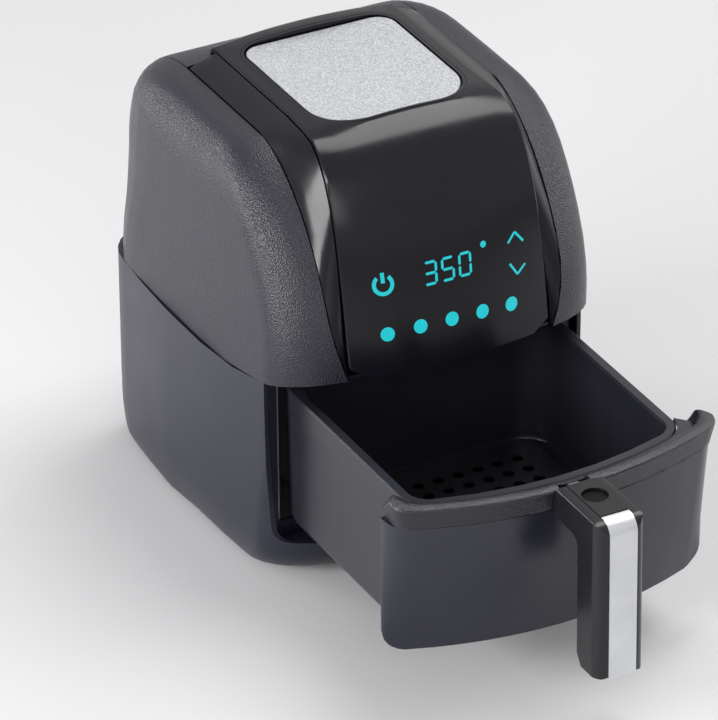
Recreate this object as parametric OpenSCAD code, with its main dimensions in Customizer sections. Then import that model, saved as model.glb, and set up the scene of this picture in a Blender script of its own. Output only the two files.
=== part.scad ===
// Basket air fryer: rounded housing, pull-out drawer with a release button, heater and fans.
// Frame of the sources below: X = 0 is the plane of symmetry, Z = 0 the worktop, and
// Y = 0 the plane of the drawer opening's side edges; the front looks towards -Y.

/* [Drawer] */
// Inside width of the basket
basket_w = 210; // [170:1:255]
// Inside length of the basket on the centre line
basket_l = 212; // [170:1:256]
// Inside depth of the basket
basket_d = 101; // [80:1:124]
// Width of the basket's rim
rim_w = 9.5; // [8:0.5:11.5]
// Depth of the rim's outer skirt
skirt_h = 17.5; // [12:0.5:22]
// Sheet thickness of the basket and the pan
sheet = 1.4; // [1:0.1:1.7]
// Room for fat between the pan's floor and the basket's floor
drip_room = 15; // [12:1:24]
// How much of the pan stays in the housing when it is pulled out at rest
kept_in = 23.5; // [18:0.5:80]
// How far the drawer's front leans back over its height
front_lean = 22; // [10:1:26]

/* [Housing] */
// Room beside the drawer in its opening
opening_gap = 5.5; // [4:0.5:8]
// Width of the housing beside the opening
side_w = 14; // [12:0.5:20]
// How far the sides bulge out beyond the front edges
bulge = 7; // [3:0.5:12]
// Distance from the basket's back to the back of the housing
rear_room = 87; // [80:1:120]
// How far the rounded front stands ahead of the opening's side edges
nose = 55; // [45:1:66]
// Radius of the front's plan curve
bow_r = 300; // [240:5:500]
// Height of the bay's floor above the worktop
bay_floor = 46; // [38:1:56]
// Height of the cheeks above the base
cheek_h = 174; // [160:1:210]
// Height of the centre cover's crown above the cheeks
cover_rise = 18; // [14:0.5:24]
// Wall of the moulded housing shells
wall = 3; // [2.4:0.1:3.6]
// Radius of the housing's upright back corners
rear_r = 44; // [36:1:56]
// Height of the rubber feet below the base
foot_h = 4; // [3:0.5:6]

/* [Controls] */
// Height of the lower edge of the control front above the basket's rim
brow_gap = 21; // [18:0.5:26]
// Half width of the centre cover at the control front
cover_hw = 83.5; // [70:0.5:86]
// Half width of the centre cover on the top
cover_top_hw = 76; // [72:0.5:80]
// Half width at the outer edge of the flank strips
flank_hw = 98; // [92:0.5:104]
// Gap round the panels of the housing
panel_gap = 0.9; // [0.5:0.1:0.9]
// Width of the metal top plate
plate_w = 124; // [100:1:130]
// Length of the metal top plate
plate_l = 144; // [120:1:150]

/* [Handle] */
// Width of the grip
grip_w = 39.5; // [34:0.5:48]
// Depth of the grip from front to back
grip_d = 31; // [26:0.5:38]
// Distance from the drawer's lip to the front of the grip
handle_reach = 64; // [58:1:78]
// Length of the grip below the basket's rim
grip_l = 117; // [90:1:142]
// Width of the metal strip on the grip
strip_w = 22.6; // [21.4:0.2:27.2]
// Radius of the release button
button_r = 9.7; // [7:0.1:10]
// Travel of the release button
button_travel = 3; // [2:0.5:3]

/* [Heater and fans] */
// Number of blades of the hot-air fan
fan_blades = 9; // [6:1:12]
// Radius of the cooling fan
cooling_r = 38; // [30:1:46]
// Radius of the heating rod
rod_r = 3.25; // [2.5:0.25:4]
// Radius of the motor shaft
shaft_r = 4; // [3:0.25:5]
// Radial running clearance of the motor shaft
shaft_clear = 0.06; // [0.02:0.01:0.1]

/* [Hidden] */

charcoal = [0.17, 0.17, 0.19];
black = [0.06, 0.06, 0.07];
pan_grey = [0.14, 0.14, 0.15];
steel = [0.62, 0.63, 0.65];
silver = [0.80, 0.80, 0.81];
rubber = [0.10, 0.10, 0.10];
board_green = [0.07, 0.30, 0.19];
brass = [0.76, 0.62, 0.30];

fit = 0.3;                       // gap between seated pieces
// Heights, from the worktop up
floor_z = foot_h + wall;         // top of the base's floor
bay_low = bay_floor;
pan_low = bay_low + 4;
rim_z = pan_low + drip_room + basket_d;
chin_z = pan_low - 10;           // lower edge of the drawer opening
seam_z = rim_z + 3;              // joint between the base and the cheeks
deck_z = rim_z + 12;             // underside of the floor above the bay
brow_z = rim_z + brow_gap;
cheek_top = seam_z + cheek_h;
cover_top = cheek_top + cover_rise;
// Widths, from the middle out
rim_hw = basket_w / 2 + rim_w;
open_hw = rim_hw + opening_gap;
front_half = open_hw + side_w;
half_w = front_half + bulge;
body_w = 2 * half_w;
// Depths, from the opening's side edges
well_front = -22;
well_back = well_front + basket_l;
rim_front = well_front - rim_w;
rim_back = well_back + rim_w + 4;
bay_back = well_back + 27;
body_back = well_back + rear_room;
pull_out = rim_back - kept_in;
grip_front = -nose - handle_reach - 1;
strip_proud = 0.4;               // how far the metal strip stands ahead of the grip
gland_l = 16;                    // how far the cord's gland stands behind the back
origin_y = (body_back + gland_l + grip_front - strip_proud - pull_out) / 2;
bulge_mid = (body_back - 37) / 2; // where the sides bulge most
chin_depth = 44;                 // how far the chin curves back
corner_depth = 25;               // depth of the plan's front corners
corner_x = front_half - 46;      // where the plan's front corners start
corner_pow = 2.4;

function mix(a, b, t) = a + (b - a) * t;
function bow(x) = x * x / (2 * bow_r);
function steps(n) = [for (k = [0 : n]) k / n];
// Superellipse arc in the unit square: [across, along] at an angle of 0 to 90
function sarc(a, p) = [pow(sin(a), 2 / p), pow(cos(a), 2 / p)];

// Every node is drawn in the frame above and moved to the common origin
module placed() { translate([0, -origin_y, 0]) children(); }
module drawer_at() { placed() translate([0, -pull_out, 0]) children(); }

// Triangles of a grid of points, row by row
function grid_faces(rows, cols, base, flip) = [
    for (r = [0 : rows - 2], c = [0 : cols - 2])
        let (a = base + r * cols + c, b = a + 1, d = a + cols, e = d + 1)
            each (flip ? [[a, d, b], [b, d, e]] : [[a, b, d], [b, e, d]])
];
// Rim of a grid as one loop of indices
function grid_rim(rows, cols) = concat(
    [for (c = [0 : cols - 1]) c],
    [for (r = [1 : rows - 1]) r * cols + cols - 1],
    [for (c = [cols - 2 : -1 : 0]) (rows - 1) * cols + c],
    [for (r = [rows - 2 : -1 : 1]) r * cols]
);
// Closed sheet between an outer and an inner grid of points
module sheet_between(outer, inner) {
    rows = len(outer);
    cols = len(outer[0]);
    count = rows * cols;
    rim = grid_rim(rows, cols);
    last = len(rim) - 1;
    polyhedron(
        points = concat([for (row = outer) each row], [for (row = inner) each row]),
        faces = concat(
            grid_faces(rows, cols, 0, true),
            grid_faces(rows, cols, count, false),
            [for (k = [0 : last]) let (a = rim[k], b = rim[k < last ? k + 1 : 0])
                each [[a, b, a + count], [b, b + count, a + count]]]
        ),
        convexity = 6
    );
}
// Faces of stacked rings, each ring a closed loop
function ring_faces(rings, cols, base, flip) = [
    for (r = [0 : rings - 2], c = [0 : cols - 1])
        let (a = base + r * cols + c, b = base + r * cols + (c + 1) % cols,
             d = a + cols, e = b + cols)
            each (flip ? [[a, d, b], [b, d, e]] : [[a, b, d], [b, e, d]])
];
// Cup with a flat floor: outer and inner rings run from the rim down to the floor
module cup(outer, inner) {
    rings = len(outer);
    cols = len(outer[0]);
    count = rings * cols;
    inner_rings = len(inner);
    low = (rings - 1) * cols;
    inner_low = count + (inner_rings - 1) * cols;
    polyhedron(
        points = concat([for (row = outer) each row], [for (row = inner) each row]),
        faces = concat(
            ring_faces(rings, cols, 0, false),
            ring_faces(inner_rings, cols, count, true),
            [for (c = [0 : cols - 1]) let (d = (c + 1) % cols)
                each [[c, count + c, d], [d, count + c, count + d]]],
            [[for (c = [0 : cols - 1]) low + c]],
            [[for (c = [cols - 1 : -1 : 0]) inner_low + c]]
        ),
        convexity = 8
    );
}
// Plan of the housing as a half outline from the front centre to the back centre.
// front is the Y of the nose, half the side's X at the front corner, back the back's Y.
function side_x(y, half, spread) =
    half + spread * (1 - pow((y - bulge_mid) / bulge_mid, 2));
function half_plan(front, half, spread, back, corner) =
    let (turn = front + bow(half) + corner_depth,
         side = side_x(max(turn, 0), half, spread),
         start = back - corner,
         rear_x = side_x(start, half, spread))
    concat(
        [for (t = [0, 0.25, 0.5, 0.75]) [t * corner_x, front + bow(t * corner_x)]],
        [for (a = [0 : 15 : 75]) let (s = sarc(a, corner_pow),
            x = corner_x + (side - corner_x) * s[0])
            [x, front + bow(x) + corner_depth * (1 - s[1])]],
        [for (t = [0, 0.2, 0.4, 0.61, 0.67, 0.84, 1]) let (y = mix(turn, start, t)) [side_x(max(y, 0), half, spread), y]],
        [for (a = [15 : 15 : 90]) [rear_x - corner + corner * cos(a), start + corner * sin(a)]],
        [[(rear_x - corner) / 2, back]]
    );
function mirror_x(half) = [for (k = [len(half) - 1 : -1 : 1]) if (half[k][0] > 0.001) [-half[k][0], half[k][1]]];
function full_plan(half) = concat(half, mirror_x(half));
function at_height(plan, z) = [for (p = plan) [p[0], p[1], z]];
function at_seam(plan, gap) = [for (p = plan) [p[0], p[1], seam_at(p[1]) - gap]];

// Lower edge of the cheeks seen from the side
function seam_at(y) = let (run = 70, t = max(0, (run - y) / (run + nose - 12)))
    seam_z + (brow_z - seam_z) * pow(t, 1.4);

// Base: the front leans back with the drawer's front and then curves under as a chin
function base_front(z) = z > chin_z
    ? -nose + (rim_z - z) * 18 / (rim_z - chin_z)
    : -nose + 18 + chin_depth * (1 - sqrt(1 - pow((chin_z - z) / (chin_z - foot_h + 0.5), 2)));
function base_tuck(z) = let (start = chin_z + 10) z > start ? 0
    : 13 * (1 - sqrt(1 - pow((start - z) / (start - foot_h + 0.5), 2)));
function base_half(z, inset, tuck) = half_plan(
    base_front(z) + inset, front_half - tuck - inset, half_w - front_half,
    body_back - tuck - inset, rear_r - tuck - inset);
// Behind this line the sides keep part of their width down to the feet, as a heel
heel_y = body_back - 131;
heel_share = 0.4;
function base_plan(z, inset) = let (low = base_half(z, inset, base_tuck(z)), full = base_half(z, inset, 0))
    full_plan([for (k = [0 : len(low) - 1])
        mix(low[k], full[k], heel_share * max(0, min(1, (low[k][1] - heel_y) / 12)))]);
upper_levels = [mix(chin_z, brow_z, 0.55), chin_z + 20];
base_levels = concat(upper_levels, [for (f = [1, 0.72, 0.47, 0.28, 0.14, 0.05, 0]) mix(foot_h, chin_z, f)]);
inner_levels = concat(upper_levels, [for (f = [1, 0.72, 0.47, 0.28, 0.14, 0]) mix(floor_z, chin_z, f)]);

module opening_cut(r) {
    rotate([90, 0, 90]) linear_extrude(height = 2 * body_w, center = true)
        polygon(concat([[-nose - 60, cheek_top], [-nose - 60, chin_z]],
            [for (a = [0 : 15 : 90]) [-r + r * sin(a), chin_z + r - r * cos(a)]],
            [[0, cheek_top]]));
}
module rrect(w, l, r) {
    square([w - 2 * r, l], center = true);
    square([w, l - 2 * r], center = true);
    for (i = [-1, 1], j = [-1, 1]) translate([i * (w / 2 - r), j * (l / 2 - r)]) circle(r = r, $fn = 32);
}
module slot(w, l) {
    square([w, l - w], center = true);
    for (j = [-1, 1]) translate([0, j * (l - w) / 2]) circle(r = w / 2, $fn = 24);
}
module screw(head_r, head_h, r, l) {
    rotate_extrude($fn = 32) polygon([[0, 0], [head_r - 0.4, 0], [head_r, 0.4], [head_r, head_h],
        [r, head_h], [r, head_h + l], [0, head_h + l]]);
}
module both_sides() { for (side = [-1, 1]) scale([side, 1, 1]) children(); }

foot_x = front_half - 36;
foot_rows = [54, body_back - 55];
screw_x = front_half - 40;
screw_rows = [70, (body_back - 7) / 2, body_back - 77];
inlet_x = 60;
inlet_z = 46;
inlet_r = 8;

module base_shell() {
    color(charcoal) placed() difference() {
        cup(concat([at_seam(base_plan(brow_z, 0), 3 * fit)],
                [for (z = base_levels) at_height(base_plan(z, 0), z)]),
            concat([at_seam(base_plan(brow_z, wall), 3 * fit)],
                [for (z = inner_levels) at_height(base_plan(z, wall), z)]));
        opening_cut(9);
        translate([8 - screw_x, 62, 0]) cube([2 * screw_x - 16, body_back - 131, 20]);
        for (x = [-foot_x, foot_x], y = foot_rows) translate([x, y, -1]) cylinder(r = 3.2, h = 12, $fn = 32);
        for (x = [-screw_x, screw_x], y = screw_rows) translate([x, y, -1]) cylinder(r = 1.8, h = 12, $fn = 24);
        translate([inlet_x, body_back - 20, inlet_z]) rotate([-90, 0, 0])
            cylinder(r = inlet_r, h = 40, $fn = 48);
    }
}

module bottom_cover() {
    color(charcoal) placed() difference() {
        union() {
            translate([-screw_x - 4, 50, floor_z + fit]) cube([2 * screw_x + 8, body_back - 113, 2.5]);
            for (x = [14 - screw_x, screw_x - 14], y = [64, body_back - 77]) translate([x, y, floor_z + 1])
                cylinder(r = 6, h = bay_low - fit - floor_z - 1, $fn = 32);
        }
        for (k = [-4 : 4]) translate([k * 10, screw_rows[1], 0]) linear_extrude(height = 20) slot(4.4, 70);
        for (x = [-screw_x, screw_x], y = screw_rows) translate([x, y, -1]) cylinder(r = 1.6, h = 30, $fn = 24);
    }
}

module rubber_feet() {
    color(rubber) placed() for (x = [-foot_x, foot_x], y = foot_rows) translate([x, y, 0])
        rotate_extrude($fn = 48) polygon([[0, 0], [8.5, 0], [10, 1.5], [10, foot_h - 0.1],
            [2.9, foot_h - 0.1], [2.9, floor_z], [0, floor_z]]);
}

module base_screws() {
    color(steel) placed() for (x = [-screw_x, screw_x], y = screw_rows)
        translate([x, y, foot_h - 2.4]) screw(3.4, 2.2, 1.4, 6.5);
}

// Drawer bay
frame_y = 8;                     // front of the recessed frame round the opening
frame_t = 3;
bay_hw = open_hw - 2;

module opening_frame() {
    inside = wall + 2 * fit;
    color(charcoal) placed() difference() {
        union() {
            intersection() {
                translate([0, 0, chin_z - 5]) linear_extrude(height = deck_z - chin_z + 3)
                    polygon(base_plan(chin_z - 5, inside));
                translate([-body_w, frame_y, chin_z - 5]) cube([2 * body_w, frame_t, 200]);
            }
            intersection() {
                translate([0, 0, chin_z - 5]) linear_extrude(height = 3)
                    polygon(base_plan(chin_z - 5, inside));
                translate([-body_w, -nose, 0]) cube([2 * body_w, nose + frame_y + 1, 100]);
            }
        }
        translate([-open_hw, 0, pan_low - fit - 0.05]) cube([2 * open_hw, 40, 200]);
    }
}

module bay_liner() {
    depth = bay_back - frame_y - frame_t - fit;
    color(steel) placed() difference() {
        translate([-bay_hw, frame_y + frame_t + fit, bay_low]) cube([2 * bay_hw, depth, deck_z - bay_low - fit]);
        translate([-bay_hw + 1, 0, bay_low + 1]) cube([2 * bay_hw - 2, bay_back - 1, 200]);
    }
}

module drawer_rails() {
    color(steel) placed() both_sides() translate([rim_hw - 34.5, bay_back / 2 + 1.5, bay_low + 1 + fit])
        linear_extrude(height = pan_low - fit - 0.05 - bay_low - 1 - fit) slot(14, bay_back - 37);
}

// Cheeks: superellipse seam on the front and top, rounded shoulder, rounded back
cheek_back = body_back - 4.5;
seam_mid_y = 75;
seam_ry = seam_mid_y + nose - 12;
seam_rz = cheek_top + 1 - brow_z;
seam_pow = 1.75;
shoulder_z = cheek_top - 58;
back_mid_z = cheek_top - 90;
back_mid_y = cheek_back - 85.5;
cheek_side = front_half + 1.5;
cheek_bulge = 3.5;
shoulder_pow = 3;

function seam_y(z, i) = let (t = max(0, min(1, (z - brow_z) / (seam_rz - i))))
    seam_mid_y - (seam_ry - i) * pow(1 - pow(t, seam_pow), 1 / seam_pow);
function seam_x(z) = z < brow_z + 60
    ? flank_hw - 12 * pow((brow_z + 60 - max(z, brow_z)) / 60, 2) : flank_hw;
function shoulder(z, i) = z <= shoulder_z ? 1
    : pow(max(0, 1 - pow((z - shoulder_z) / (58 - i), shoulder_pow)), 1 / shoulder_pow);
// Depth of the rounded back corner at each height
function rear_run(z) = lookup(z, [[seam_z, 50], [seam_z + 85, 88], [shoulder_z + 10, 84], [cheek_top, 46]]);
function back_y(z, i) = z <= back_mid_z ? cheek_back - i
    : back_mid_y + (cheek_back - i - back_mid_y) * pow(max(0, 1 - pow((z - back_mid_z) / (90 - i), 2.4)), 1 / 2.4);
function cheek_x(y, z, i) = flank_hw + shoulder(z, i)
    * (side_x(max(0, min(2 * bulge_mid, y)), cheek_side - 0.03 * max(0, z - brow_z - 3) - i, cheek_bulge) - flank_hw);
function cheek_slice(z, i) =
    let (sx = seam_x(z), sy = seam_y(z, i), sh = shoulder(z, i),
         deep = 27 + 14 * (1 - sh),
         turn = sy + deep + (bow(cheek_x(sy + deep, z, i)) - bow(sx)),
         w = cheek_x(turn, z, i), back = back_y(z, i), run = min(rear_run(z), back - turn - 12),
         start = back - run,
         wb = cheek_x(start, z, i), rx = (wb - flank_hw) / 0.75)
    concat(
        [for (a = [0 : 15 : 90]) let (s = sarc(a, corner_pow), x = mix(sx, w, s[0]))
            [x, sy + bow(x) - bow(sx) + deep * (1 - s[1])]],
        [for (t = [0.25, 0.5, 0.75, 1]) let (y = mix(turn, start, t)) [cheek_x(y, z, i), y]],
        [for (a = [15.104 : 15.104 : 76]) [wb - rx + rx * cos(a), start + run * sin(a)]]
    );
cheek_rise = concat([for (f = [0.13, 0.3, 0.5, 0.72, 0.87]) mix(brow_z, shoulder_z, f)],
    [for (f = [0, 0.22, 0.41, 0.59, 0.72, 0.835, 0.914, 0.966, 0.991, 1]) shoulder_z + 58 * f]);
function drop_top(z, i) = z <= shoulder_z ? z : shoulder_z + (z - shoulder_z) * (58 - i) / 58;
function cheek_grid(i) = concat(
    [[for (p = cheek_slice(brow_z - 7, i)) [p[0], p[1], seam_at(p[1])]]],
    [for (z = cheek_rise) let (h = drop_top(z, i)) [for (p = cheek_slice(h, i)) [p[0], p[1], h]]]
);
module cheek() { sheet_between(cheek_grid(0), cheek_grid(wall)); }
module right_cheek() { color(black) placed() cheek(); }
module left_cheek() { color(black) placed() scale([-1, 1, 1]) cheek(); }

// Centre cover: side-edge profile from the control front over the bend to the back
edge_top = cover_top - 5.5;
function bez(t) = let (u = 1 - t) u * u * u * [-nose + 13, brow_z] + 3 * u * u * t * [-nose + 25, brow_z + 68]
    + 3 * u * t * t * [-nose + 35, edge_top + 6.5] + t * t * t * [40, edge_top];
bend = [for (t = [0, 0.1, 0.2, 0.3, 0.4, 0.5, 0.6, 0.7, 0.8, 0.9, 1]) t];
edge_line = concat([for (t = bend) bez(t)],
    [for (f = [0, 0.32, 0.63, 0.9, 1]) [mix(68, back_mid_y + 1, f), edge_top]],
    [[back_mid_y + 5.5, edge_top - 1.4], [back_mid_y + 8, edge_top - 4.5], [back_mid_y + 9, edge_top - 8.5],
    [back_mid_y + 9, cheek_top + 0.7]]);
function unit(v) = v / norm(v);
function edge_normal(k) =
    let (a = edge_line[max(0, k - 1)], b = edge_line[min(len(edge_line) - 1, k + 1)], d = unit(b - a))
    [-d[1], d[0]];
function cover_half(y) = lookup(y, [[-nose + 13, cover_hw + 0.5], [-nose + 29, cover_hw],
    [12, mix(cover_top_hw, cover_hw, 0.6)], [31, mix(cover_top_hw, cover_hw, 0.33)], [68, cover_top_hw]]);
function crown(k) = k < len(bend) ? mix(13, 5.5, bend[k])
    : 5.5 * (edge_line[k][1] - cheek_top) / (edge_top - cheek_top);
function brow_lift(x, half) = let (r = 13, over = abs(x) - half + r) over > 0 ? r - sqrt(r * r - over * over) : 0;
cover_cols = [-1, -0.985, -0.8, -0.6, -0.4, -0.2, 0, 0.2, 0.4, 0.6, 0.8, 0.985, 1];
function cover_grid(i) = [for (k = [0 : len(edge_line) - 1])
    let (p = edge_line[k], n = edge_normal(k), half = cover_half(p[0]),
         up = p[0] < 41 ? n : [0, 1])
    [for (v = cover_cols) let (x = v * half, c = crown(k) * (1 - v * v) - (abs(v) == 1 ? 0.9 : 0),
        lift = k == 0 ? brow_lift(x, half) : 0)
        [x, p[0] + up[0] * c - n[0] * i + lift * 0.18, p[1] + up[1] * c - n[1] * i + lift]]];

// Outline of the top plate, wider rounding at the front
module plate_shape(grow) {
    w = plate_w / 2 + grow;
    low = plate_y - plate_l / 2 - grow;
    high = plate_y + plate_l / 2 + grow;
    rf = 36 + grow;
    rb = 15 + grow;
    polygon(concat(
        [for (a = [0 : 9 : 90]) [w - rb + rb * cos(a), high - rb + rb * sin(a)]],
        [for (a = [90 : 9 : 180]) [-w + rb + rb * cos(a), high - rb + rb * sin(a)]],
        [for (a = [180 : 7.5 : 270]) [-w + rf + rf * cos(a), low + rf + rf * sin(a)]],
        [for (a = [270 : 7.5 : 360]) [w - rf + rf * cos(a), low + rf + rf * sin(a)]]
    ));
}
dish_z = edge_top - 4.5;         // underside of the dish
plate_y = back_mid_y - 85;
module centre_cover() {
    color(black) placed() difference() {
        sheet_between(cover_grid(0), cover_grid(2.8));
        translate([0, 0, edge_top - 20]) linear_extrude(height = 60) plate_shape(4.8);
    }
}
module plate_dish() {
    color(black) placed() difference() {
        intersection() {
            translate([0, 0, dish_z]) linear_extrude(height = 20) plate_shape(4.5);
            rotate([90, 0, 0]) linear_extrude(height = 4 * body_back, center = true)
                polygon(concat([for (x = [-72 : 6 : 72])
                    [x, edge_top + 5.5 * (1 - pow(x / cover_top_hw, 2)) - 0.2]], [[72, dish_z - 5], [-72, dish_z - 5]]));
        }
        translate([0, 0, dish_z + 2]) linear_extrude(height = 20) plate_shape(2);
    }
}
module top_plate() {
    color(silver) placed() {
        translate([0, 0, dish_z + 2 + fit]) linear_extrude(height = 3.4) plate_shape(0);
    }
}

// Flank strips between the cover's edge and the cheeks
strip_steps = [0, 0.3, 0.6, 0.9, 1];
strip_line = concat(
    [for (k = [0 : 10]) let (a = 9 * k) [seam_mid_y - seam_ry * pow(cos(a), 2 / seam_pow),
        brow_z + seam_rz * pow(sin(a), 2 / seam_pow)]],
    [for (f = strip_steps) [mix(85, back_mid_y - 2, f), cheek_top + 1]],
    [[back_mid_y + 0.5, cheek_top + 0.9], [back_mid_y + 1, cheek_top + 0.6]]);
strip_inner = concat([for (k = [0 : 10]) bez(bend[k])],
    [for (f = strip_steps) [mix(72, back_mid_y - 3, f), edge_top]],
    [[back_mid_y + 0.5, edge_top - 2.5], [back_mid_y + 1, cheek_top + 4]]);
function strip_grid(i) = [for (k = [0 : len(strip_line) - 1])
    let (q = strip_line[k], p = strip_inner[k], n = edge_normal(min(k, 14)),
         xi = cover_half(p[0]) + panel_gap, xo = seam_x(q[1]) - panel_gap)
    [for (t = [0, 0.33, 0.67, 1]) let (c = 1.4 * 4 * t * (1 - t) - (t < 1 ? 2.2 * (1 - t) : 0) - i)
        [mix(xi, xo, t), mix(p[0], q[0], t) + n[0] * c, mix(p[1], q[1], t) + n[1] * c]]];
module flank_strip() { sheet_between(strip_grid(0), strip_grid(2.4)); }
module right_flank_strip() { color(black) placed() flank_strip(); }
module left_flank_strip() { color(black) placed() scale([-1, 1, 1]) flank_strip(); }

// Back of the housing between the cheeks, with the outlet of the air duct
duct_w = 84;
duct_low = deck_z + 16;
duct_h = 40;
vent_w = duct_w + 8;
vent_low = duct_low - 4;
vent_high = duct_low + duct_h + 14;
rear_rise = concat([seam_z + fit],
    [for (f = [0, 0.21, 0.41, 0.59, 0.73, 0.84, 0.92, 0.967, 0.991, 0.999]) back_mid_z + 90 * f]);
rear_screw_rows = [seam_z + 13, seam_z + 75];
function rear_grid(i) = [for (z = rear_rise)
    let (h = z <= back_mid_z ? z : back_mid_z + (z - back_mid_z) * (90 - i) / 90)
    [for (x = [flank_hw - 0.8, flank_hw - 6, flank_hw - 12, 40, -40, 12 - flank_hw, 6 - flank_hw, 0.8 - flank_hw])
        [x, back_y(h, i) - 0.032 * rear_run(h) * pow(max(0, abs(x) - flank_hw + 13) / 13, 2), h]]];
module rear_cover() {
    color(charcoal) placed() difference() {
        sheet_between(rear_grid(0), rear_grid(wall));
        translate([-vent_w / 2, cheek_back - 10, vent_low]) cube([vent_w, 20, vent_high - vent_low]);
        for (k = [-4 : 4]) translate([k * 9 - 1.8, back_mid_y + 3, back_mid_z + 19]) cube([3.6, 90, 24]);
        for (x = [-78, 78], z = rear_screw_rows) translate([x, cheek_back - 10, z]) rotate([-90, 0, 0])
            cylinder(r = 1.8, h = 20, $fn = 24);
    }
}
module exhaust_grille() {
    w = vent_w - 2 * fit;
    h = vent_high - vent_low - 2 * fit;
    color(black) placed() difference() {
        translate([-w / 2, cheek_back - wall, vent_low + fit]) cube([w, wall - 0.6, h]);
        for (k = [0 : 5], x = [-22, 22]) translate([x, cheek_back - 5, vent_low + 7 + 8.7 * k])
            rotate([-90, 0, 0]) linear_extrude(height = 10) rotate(90) slot(4.6, 38);
    }
}
module rear_screws() {
    color(steel) placed() for (x = [-78, 78], z = rear_screw_rows)
        translate([x, cheek_back + 1.6, z]) rotate([90, 0, 0]) screw(3.4, 1.6, 1.4, 8);
}
module cord_gland() {
    color(rubber) placed() translate([inlet_x, body_back - wall, inlet_z]) rotate([-90, 0, 0])
        rotate_extrude($fn = 48) polygon([[3.4, -5], [10.5, -5], [10.5, -0.9], [inlet_r - 0.2, -0.9],
            [inlet_r - 0.2, wall + fit], [11, wall + fit], [11, wall + 2.5], [6, wall + 4], [5, wall + gland_l], [3.4, wall + gland_l]]);
}

// Floors above the drawer bay
module brow_panel() {
    line = [for (y = [-nose, -48, -40, -30, -20, -10, 0, frame_y + frame_t + fit]) [y, seam_at(y)]];
    last = len(line) - 1;
    color(charcoal) placed() intersection() {
        rotate([90, 0, 90]) linear_extrude(height = 2 * body_w, center = true)
            polygon(concat([for (p = line) [p[0], p[1] + 0.5]],
                [for (k = [last : -1 : 0]) [line[k][0], line[k][1] + 2.5]]));
        translate([0, 0, seam_z]) linear_extrude(height = 40)
            polygon(full_plan(half_plan(-nose + 6.2, cheek_side - wall - fit, cheek_bulge, back_mid_y, 40)));
    }
}
dome_y = (frame_y + bay_back) / 2 - 7.5;
dome_r = min(basket_w, basket_l) / 2 - 11;
dome_top = deck_z + 59;
deck_hole = dome_r - 4;
floor_corner = max(rear_run(deck_z) + 4, 1.4 * (cheek_side + cheek_bulge - flank_hw));
module upper_floor() {
    color(steel) placed() difference() {
        intersection() {
            translate([0, 0, deck_z]) linear_extrude(height = 2)
                polygon(full_plan(half_plan(-nose + 2, cheek_side - wall - 3 * fit, cheek_bulge,
                    cheek_back - wall - 2 * fit, floor_corner)));
            translate([-body_w, frame_y + frame_t + 2 * fit, 0]) cube([2 * body_w, body_back, 400]);
        }
        translate([0, dome_y, 0]) cylinder(r = deck_hole, h = 400, $fn = 96);
    }
}

// Heater
module heat_dome() {
    low = deck_z + 2 + fit;
    color(steel) placed() difference() {
        translate([0, dome_y, 0]) rotate_extrude($fn = 96) polygon([[dome_r, low], [dome_r + 8, low],
            [dome_r + 8, low + 1], [dome_r + 1, low + 1], [dome_r + 1, dome_top - 4], [dome_r - 3, dome_top],
            [9, dome_top], [9, dome_top - 1], [dome_r - 3.4, dome_top - 1], [dome_r, dome_top - 4.4]]);
        translate([-duct_w / 2 + 1.5, dome_y + 40, duct_low + 1.5]) cube([duct_w - 3, 100, duct_h - 3]);
        for (end = [0, 1]) coil_end(end) cylinder(r = rod_r + 0.4, h = 2 * dome_top, $fn = 32);
        translate([dome_r / 2 + 3, dome_y + 40, dome_top - 20]) cylinder(r = 2.8, h = 40, $fn = 24);
    }
}
coil_z = deck_z + 18;
coil_pitch = 2 * rod_r + 2.5;
heater_r = dome_r - 10;
fan_r = heater_r - 2 * coil_pitch - rod_r - 4.75;
coil_gap = 10;                   // half angle of the open part of the turns
module coil_end(end) {
    r = heater_r - 2 * coil_pitch * end;
    a = end == 0 ? coil_gap - 90 : -coil_gap - 90;
    translate([r * cos(a), dome_y + r * sin(a), 0]) children();
}
module heating_coil() {
    color(steel) placed() {
        for (k = [0 : 2]) translate([0, dome_y, coil_z]) rotate([0, 0, coil_gap - 90])
            rotate_extrude(angle = 360 - 2 * coil_gap, $fn = 96)
                translate([heater_r - k * coil_pitch, 0]) circle(r = rod_r, $fn = 32);
        for (k = [0, 1]) let (a = (k == 0 ? -coil_gap : coil_gap) - 90, r = heater_r - k * coil_pitch)
            translate([r * cos(a), dome_y + r * sin(a), coil_z]) rotate([0, 0, a]) rotate([0, -90, 0])
                cylinder(r = rod_r * 0.98, h = coil_pitch, $fn = 32);
        for (end = [0, 1]) coil_end(end) translate([0, 0, coil_z]) cylinder(r = rod_r * 0.98, h = dome_top - coil_z + 11, $fn = 32);
    }
}
module coil_clips() {
    low = deck_z + 2 + 2.5 + 2 * fit;
    color(steel) placed() for (a = [60, 180, 300]) translate([0, dome_y, 0]) rotate([0, 0, a])
        translate([0, -4, 0]) {
            translate([dome_r - 3, 0, low]) cube([1.2, 8, coil_z + rod_r + fit + 1 - low]);
            translate([fan_r + 4, 0, coil_z + rod_r + fit]) cube([dome_r - fan_r - 6.5, 8, 1]);
        }
}
module coil_guard() {
    low = deck_z + 2 + fit;
    color(steel) placed() translate([0, dome_y, low]) {
        for (r = [deck_hole / 3, deck_hole * 2 / 3]) rotate_extrude($fn = 96) polygon([[r, 0], [r + 2.2, 0], [r + 2.2, 2.2], [r, 2.2]]);
        rotate_extrude($fn = 96) polygon([[deck_hole - 1.5, 0], [dome_r - 0.3, 0], [dome_r - 0.3, 2.2], [deck_hole - 1.5, 2.2]]);
        for (a = [0, 60, 120]) rotate([0, 0, a]) translate([-deck_hole, -1.1, 0.3])
            cube([2 * deck_hole, 2.2, 2.2]);
    }
}

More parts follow.
